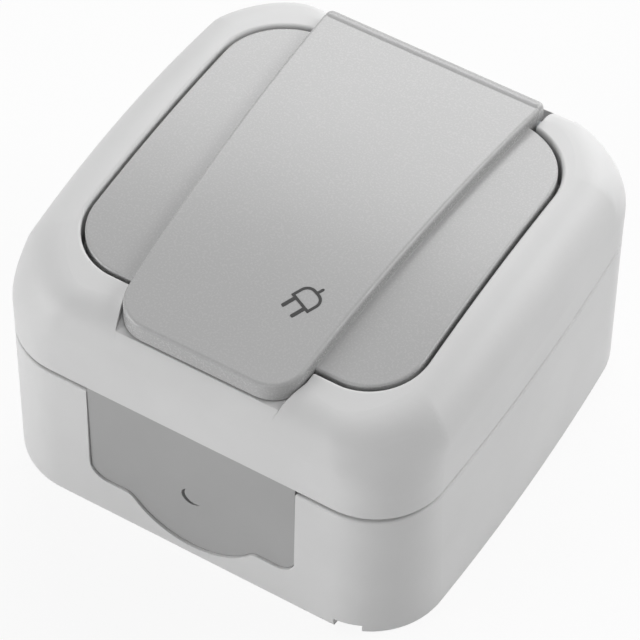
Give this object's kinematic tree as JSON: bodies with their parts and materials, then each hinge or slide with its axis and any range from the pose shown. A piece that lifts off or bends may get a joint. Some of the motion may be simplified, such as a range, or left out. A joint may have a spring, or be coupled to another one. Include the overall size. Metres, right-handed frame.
{
  "type": "surface-mounted earthed socket",
  "caption": "Splash-proof surface-mounted earthed wall socket with a sprung flap lid over a round plug recess and a slide-in cable entry plate.",
  "frame": {"origin": "centre of the wall face, the flat back that lies on the wall", "axes": "+Z out of the wall, +Y towards the lid hinge (up on the wall), -Y towards the cable entry, +X right"},
  "size_m": [0.0744, 0.0752, 0.0481],
  "materials": {
    "housing_plastic": "satin light grey moulding",
    "lid_plastic": "satin mid grey moulding",
    "plate_plastic": "fine matt mid grey moulding",
    "insert_plastic": "satin light grey moulding",
    "carrier_plastic": "dense thermoset moulding",
    "seal_rubber": "soft matt seal",
    "steel": "zinc plated",
    "brass": "rolled strip",
    "plated_strip": "nickel plated spring strip"
  },
  "bodies": {
    "housing": {"base_box": "housing_plastic", "cable_entry_plate": "plate_plastic", "front_cover": "housing_plastic", "cover_seal": "seal_rubber", "cover_screws": "steel", "cover_screw_seals": "seal_rubber", "hinge_pin": "steel", "lid_spring": "steel", "socket_well": "insert_plastic", "well_seal": "seal_rubber", "centre_screw": "steel", "contact_carrier": "carrier_plastic", "carrier_screws": "steel", "line_contact": "brass", "neutral_contact": "brass", "earth_bracket": "plated_strip", "terminal_clamps": "steel", "terminal_screws": "steel"},
    "lid": {"flap_lid": "lid_plastic", "lid_gasket": "seal_rubber"}
  },
  "joints": [
    {"name": "lid_hinge", "type": "hinge", "parent": "housing", "child": "lid", "pos_m": [0, 0.0313, 0.042], "axis": [-1, 0, 0], "range_deg": [0, 110], "stiffness_Nm_per_rad": 0.01, "springref_deg": -85.94, "deforming": ["lid_spring"]}
  ]
}
